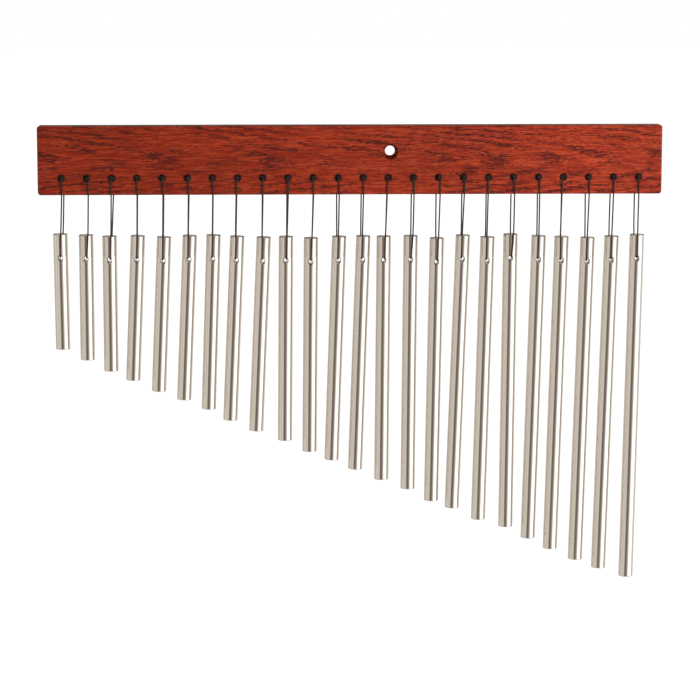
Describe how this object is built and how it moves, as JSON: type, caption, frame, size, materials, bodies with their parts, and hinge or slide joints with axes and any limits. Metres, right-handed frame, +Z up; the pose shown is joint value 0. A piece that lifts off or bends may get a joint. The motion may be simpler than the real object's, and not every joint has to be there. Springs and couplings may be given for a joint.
{
  "type": "bar chimes",
  "caption": "Row of hanging solid metal chime bars, graded from short to long, each on a knotted cord loop under a wooden mantle with a stand bolt hole; swept by hand or stick.",
  "frame": {"origin": "centre of the stand bolt hole on the mantle's back face", "axes": "+Z up, +X along the mantle towards the long bars, -Y out of the front"},
  "size_m": [0.4064, 0.0161, 0.3021],
  "materials": {
    "stained_oak": "red-brown stain under satin lacquer, open grain",
    "brushed_aluminium": "satin, drawn along the bar",
    "braided_cord": "waxed braid"
  },
  "bodies": {
    "mantle": {"mantle": "stained_oak"},
    "hanger_01": {"cord_loop_01": "braided_cord"},
    "bar_01": {"chime_bar_01": "brushed_aluminium"},
    "hanger_02": {"cord_loop_02": "braided_cord"},
    "bar_02": {"chime_bar_02": "brushed_aluminium"},
    "hanger_03": {"cord_loop_03": "braided_cord"},
    "bar_03": {"chime_bar_03": "brushed_aluminium"},
    "hanger_04": {"cord_loop_04": "braided_cord"},
    "bar_04": {"chime_bar_04": "brushed_aluminium"},
    "hanger_05": {"cord_loop_05": "braided_cord"},
    "bar_05": {"chime_bar_05": "brushed_aluminium"},
    "hanger_06": {"cord_loop_06": "braided_cord"},
    "bar_06": {"chime_bar_06": "brushed_aluminium"},
    "hanger_07": {"cord_loop_07": "braided_cord"},
    "bar_07": {"chime_bar_07": "brushed_aluminium"},
    "hanger_08": {"cord_loop_08": "braided_cord"},
    "bar_08": {"chime_bar_08": "brushed_aluminium"},
    "hanger_09": {"cord_loop_09": "braided_cord"},
    "bar_09": {"chime_bar_09": "brushed_aluminium"},
    "hanger_10": {"cord_loop_10": "braided_cord"},
    "bar_10": {"chime_bar_10": "brushed_aluminium"},
    "hanger_11": {"cord_loop_11": "braided_cord"},
    "bar_11": {"chime_bar_11": "brushed_aluminium"},
    "hanger_12": {"cord_loop_12": "braided_cord"},
    "bar_12": {"chime_bar_12": "brushed_aluminium"},
    "hanger_13": {"cord_loop_13": "braided_cord"},
    "bar_13": {"chime_bar_13": "brushed_aluminium"},
    "hanger_14": {"cord_loop_14": "braided_cord"},
    "bar_14": {"chime_bar_14": "brushed_aluminium"},
    "hanger_15": {"cord_loop_15": "braided_cord"},
    "bar_15": {"chime_bar_15": "brushed_aluminium"},
    "hanger_16": {"cord_loop_16": "braided_cord"},
    "bar_16": {"chime_bar_16": "brushed_aluminium"},
    "hanger_17": {"cord_loop_17": "braided_cord"},
    "bar_17": {"chime_bar_17": "brushed_aluminium"},
    "hanger_18": {"cord_loop_18": "braided_cord"},
    "bar_18": {"chime_bar_18": "brushed_aluminium"},
    "hanger_19": {"cord_loop_19": "braided_cord"},
    "bar_19": {"chime_bar_19": "brushed_aluminium"},
    "hanger_20": {"cord_loop_20": "braided_cord"},
    "bar_20": {"chime_bar_20": "brushed_aluminium"},
    "hanger_21": {"cord_loop_21": "braided_cord"},
    "bar_21": {"chime_bar_21": "brushed_aluminium"},
    "hanger_22": {"cord_loop_22": "braided_cord"},
    "bar_22": {"chime_bar_22": "brushed_aluminium"},
    "hanger_23": {"cord_loop_23": "braided_cord"},
    "bar_23": {"chime_bar_23": "brushed_aluminium"},
    "hanger_24": {"cord_loop_24": "braided_cord"},
    "bar_24": {"chime_bar_24": "brushed_aluminium"}
  },
  "joints": [
    {"name": "sway_01", "type": "hinge", "parent": "mantle", "child": "hanger_01", "pos_m": [-0.2137, -0.00635, -0.0168], "axis": [0, 1, 0], "range_deg": [-3.15, 40]},
    {"name": "swing_01", "type": "hinge", "parent": "hanger_01", "child": "bar_01", "pos_m": [-0.2137, -0.00635, -0.0279], "axis": [1, 0, 0], "range_deg": [-60, 60], "deforming": ["cord_loop_01"]},
    {"name": "sway_02", "type": "hinge", "parent": "mantle", "child": "hanger_02", "pos_m": [-0.19737, -0.00635, -0.0168], "axis": [0, 1, 0], "range_deg": [-2.65, 3.15]},
    {"name": "swing_02", "type": "hinge", "parent": "hanger_02", "child": "bar_02", "pos_m": [-0.19737, -0.00635, -0.0279], "axis": [1, 0, 0], "range_deg": [-60, 60], "deforming": ["cord_loop_02"]},
    {"name": "sway_03", "type": "hinge", "parent": "mantle", "child": "hanger_03", "pos_m": [-0.18104, -0.00635, -0.0168], "axis": [0, 1, 0], "range_deg": [-2.15, 2.6]},
    {"name": "swing_03", "type": "hinge", "parent": "hanger_03", "child": "bar_03", "pos_m": [-0.18104, -0.00635, -0.0279], "axis": [1, 0, 0], "range_deg": [-60, 60], "deforming": ["cord_loop_03"]},
    {"name": "sway_04", "type": "hinge", "parent": "mantle", "child": "hanger_04", "pos_m": [-0.16471, -0.00635, -0.0168], "axis": [0, 1, 0], "range_deg": [-3.1, 2.1]},
    {"name": "swing_04", "type": "hinge", "parent": "hanger_04", "child": "bar_04", "pos_m": [-0.16471, -0.00635, -0.0279], "axis": [1, 0, 0], "range_deg": [-60, 60], "deforming": ["cord_loop_04"]},
    {"name": "sway_05", "type": "hinge", "parent": "mantle", "child": "hanger_05", "pos_m": [-0.14838, -0.00635, -0.0168], "axis": [0, 1, 0], "range_deg": [-2.8, 3.1]},
    {"name": "swing_05", "type": "hinge", "parent": "hanger_05", "child": "bar_05", "pos_m": [-0.14838, -0.00635, -0.0279], "axis": [1, 0, 0], "range_deg": [-60, 60], "deforming": ["cord_loop_05"]},
    {"name": "sway_06", "type": "hinge", "parent": "mantle", "child": "hanger_06", "pos_m": [-0.13205, -0.00635, -0.0168], "axis": [0, 1, 0], "range_deg": [-2.55, 2.8]},
    {"name": "swing_06", "type": "hinge", "parent": "hanger_06", "child": "bar_06", "pos_m": [-0.13205, -0.00635, -0.0279], "axis": [1, 0, 0], "range_deg": [-60, 60], "deforming": ["cord_loop_06"]},
    {"name": "sway_07", "type": "hinge", "parent": "mantle", "child": "hanger_07", "pos_m": [-0.11572, -0.00635, -0.0168], "axis": [0, 1, 0], "range_deg": [-1.75, 2.55]},
    {"name": "swing_07", "type": "hinge", "parent": "hanger_07", "child": "bar_07", "pos_m": [-0.11572, -0.00635, -0.0279], "axis": [1, 0, 0], "range_deg": [-60, 60], "deforming": ["cord_loop_07"]},
    {"name": "sway_08", "type": "hinge", "parent": "mantle", "child": "hanger_08", "pos_m": [-0.09939, -0.00635, -0.0168], "axis": [0, 1, 0], "range_deg": [-2.65, 1.7]},
    {"name": "swing_08", "type": "hinge", "parent": "hanger_08", "child": "bar_08", "pos_m": [-0.09939, -0.00635, -0.0279], "axis": [1, 0, 0], "range_deg": [-60, 60], "deforming": ["cord_loop_08"]},
    {"name": "sway_09", "type": "hinge", "parent": "mantle", "child": "hanger_09", "pos_m": [-0.08306, -0.00635, -0.0168], "axis": [0, 1, 0], "range_deg": [-3.15, 2.65]},
    {"name": "swing_09", "type": "hinge", "parent": "hanger_09", "child": "bar_09", "pos_m": [-0.08306, -0.00635, -0.0279], "axis": [1, 0, 0], "range_deg": [-60, 60], "deforming": ["cord_loop_09"]},
    {"name": "sway_10", "type": "hinge", "parent": "mantle", "child": "hanger_10", "pos_m": [-0.06673, -0.00635, -0.0168], "axis": [0, 1, 0], "range_deg": [-2.15, 3.1]},
    {"name": "swing_10", "type": "hinge", "parent": "hanger_10", "child": "bar_10", "pos_m": [-0.06673, -0.00635, -0.0279], "axis": [1, 0, 0], "range_deg": [-60, 60], "deforming": ["cord_loop_10"]},
    {"name": "sway_11", "type": "hinge", "parent": "mantle", "child": "hanger_11", "pos_m": [-0.0504, -0.00635, -0.0168], "axis": [0, 1, 0], "range_deg": [-1.55, 2.15]},
    {"name": "swing_11", "type": "hinge", "parent": "hanger_11", "child": "bar_11", "pos_m": [-0.0504, -0.00635, -0.0279], "axis": [1, 0, 0], "range_deg": [-60, 60], "deforming": ["cord_loop_11"]},
    {"name": "sway_12", "type": "hinge", "parent": "mantle", "child": "hanger_12", "pos_m": [-0.03406, -0.00635, -0.0168], "axis": [0, 1, 0], "range_deg": [-1.8, 1.55]},
    {"name": "swing_12", "type": "hinge", "parent": "hanger_12", "child": "bar_12", "pos_m": [-0.03406, -0.00635, -0.0279], "axis": [1, 0, 0], "range_deg": [-60, 60], "deforming": ["cord_loop_12"]},
    {"name": "sway_13", "type": "hinge", "parent": "mantle", "child": "hanger_13", "pos_m": [-0.01774, -0.00635, -0.0168], "axis": [0, 1, 0], "range_deg": [-2.25, 1.8]},
    {"name": "swing_13", "type": "hinge", "parent": "hanger_13", "child": "bar_13", "pos_m": [-0.01774, -0.00635, -0.0279], "axis": [1, 0, 0], "range_deg": [-60, 60], "deforming": ["cord_loop_13"]},
    {"name": "sway_14", "type": "hinge", "parent": "mantle", "child": "hanger_14", "pos_m": [-0.0014, -0.00635, -0.0168], "axis": [0, 1, 0], "range_deg": [-2.2, 2.25]},
    {"name": "swing_14", "type": "hinge", "parent": "hanger_14", "child": "bar_14", "pos_m": [-0.0014, -0.00635, -0.0279], "axis": [1, 0, 0], "range_deg": [-60, 60], "deforming": ["cord_loop_14"]},
    {"name": "sway_15", "type": "hinge", "parent": "mantle", "child": "hanger_15", "pos_m": [0.01493, -0.00635, -0.0168], "axis": [0, 1, 0], "range_deg": [-1.65, 2.2]},
    {"name": "swing_15", "type": "hinge", "parent": "hanger_15", "child": "bar_15", "pos_m": [0.01493, -0.00635, -0.0279], "axis": [1, 0, 0], "range_deg": [-60, 60], "deforming": ["cord_loop_15"]},
    {"name": "sway_16", "type": "hinge", "parent": "mantle", "child": "hanger_16", "pos_m": [0.03126, -0.00635, -0.0168], "axis": [0, 1, 0], "range_deg": [-1.1, 1.6]},
    {"name": "swing_16", "type": "hinge", "parent": "hanger_16", "child": "bar_16", "pos_m": [0.03126, -0.00635, -0.0279], "axis": [1, 0, 0], "range_deg": [-60, 60], "deforming": ["cord_loop_16"]},
    {"name": "sway_17", "type": "hinge", "parent": "mantle", "child": "hanger_17", "pos_m": [0.04759, -0.00635, -0.0168], "axis": [0, 1, 0], "range_deg": [-2.05, 1.1]},
    {"name": "swing_17", "type": "hinge", "parent": "hanger_17", "child": "bar_17", "pos_m": [0.04759, -0.00635, -0.0279], "axis": [1, 0, 0], "range_deg": [-60, 60], "deforming": ["cord_loop_17"]},
    {"name": "sway_18", "type": "hinge", "parent": "mantle", "child": "hanger_18", "pos_m": [0.06392, -0.00635, -0.0168], "axis": [0, 1, 0], "range_deg": [-2.1, 2.05]},
    {"name": "swing_18", "type": "hinge", "parent": "hanger_18", "child": "bar_18", "pos_m": [0.06392, -0.00635, -0.0279], "axis": [1, 0, 0], "range_deg": [-60, 60], "deforming": ["cord_loop_18"]},
    {"name": "sway_19", "type": "hinge", "parent": "mantle", "child": "hanger_19", "pos_m": [0.08025, -0.00635, -0.0168], "axis": [0, 1, 0], "range_deg": [-1.3, 2.1]},
    {"name": "swing_19", "type": "hinge", "parent": "hanger_19", "child": "bar_19", "pos_m": [0.08025, -0.00635, -0.0279], "axis": [1, 0, 0], "range_deg": [-60, 60], "deforming": ["cord_loop_19"]},
    {"name": "sway_20", "type": "hinge", "parent": "mantle", "child": "hanger_20", "pos_m": [0.09658, -0.00635, -0.0168], "axis": [0, 1, 0], "range_deg": [-1.25, 1.3]},
    {"name": "swing_20", "type": "hinge", "parent": "hanger_20", "child": "bar_20", "pos_m": [0.09658, -0.00635, -0.0279], "axis": [1, 0, 0], "range_deg": [-60, 60], "deforming": ["cord_loop_20"]},
    {"name": "sway_21", "type": "hinge", "parent": "mantle", "child": "hanger_21", "pos_m": [0.11291, -0.00635, -0.0168], "axis": [0, 1, 0], "range_deg": [-1.65, 1.25]},
    {"name": "swing_21", "type": "hinge", "parent": "hanger_21", "child": "bar_21", "pos_m": [0.11291, -0.00635, -0.0279], "axis": [1, 0, 0], "range_deg": [-60, 60], "deforming": ["cord_loop_21"]},
    {"name": "sway_22", "type": "hinge", "parent": "mantle", "child": "hanger_22", "pos_m": [0.12924, -0.00635, -0.0168], "axis": [0, 1, 0], "range_deg": [-1.3, 1.65]},
    {"name": "swing_22", "type": "hinge", "parent": "hanger_22", "child": "bar_22", "pos_m": [0.12924, -0.00635, -0.0279], "axis": [1, 0, 0], "range_deg": [-60, 60], "deforming": ["cord_loop_22"]},
    {"name": "sway_23", "type": "hinge", "parent": "mantle", "child": "hanger_23", "pos_m": [0.14557, -0.00635, -0.0168], "axis": [0, 1, 0], "range_deg": [-1.9, 1.3]},
    {"name": "swing_23", "type": "hinge", "parent": "hanger_23", "child": "bar_23", "pos_m": [0.14557, -0.00635, -0.0279], "axis": [1, 0, 0], "range_deg": [-60, 60], "deforming": ["cord_loop_23"]},
    {"name": "sway_24", "type": "hinge", "parent": "mantle", "child": "hanger_24", "pos_m": [0.1619, -0.00635, -0.0168], "axis": [0, 1, 0], "range_deg": [-40, 1.9]},
    {"name": "swing_24", "type": "hinge", "parent": "hanger_24", "child": "bar_24", "pos_m": [0.1619, -0.00635, -0.0279], "axis": [1, 0, 0], "range_deg": [-60, 60], "deforming": ["cord_loop_24"]}
  ]
}
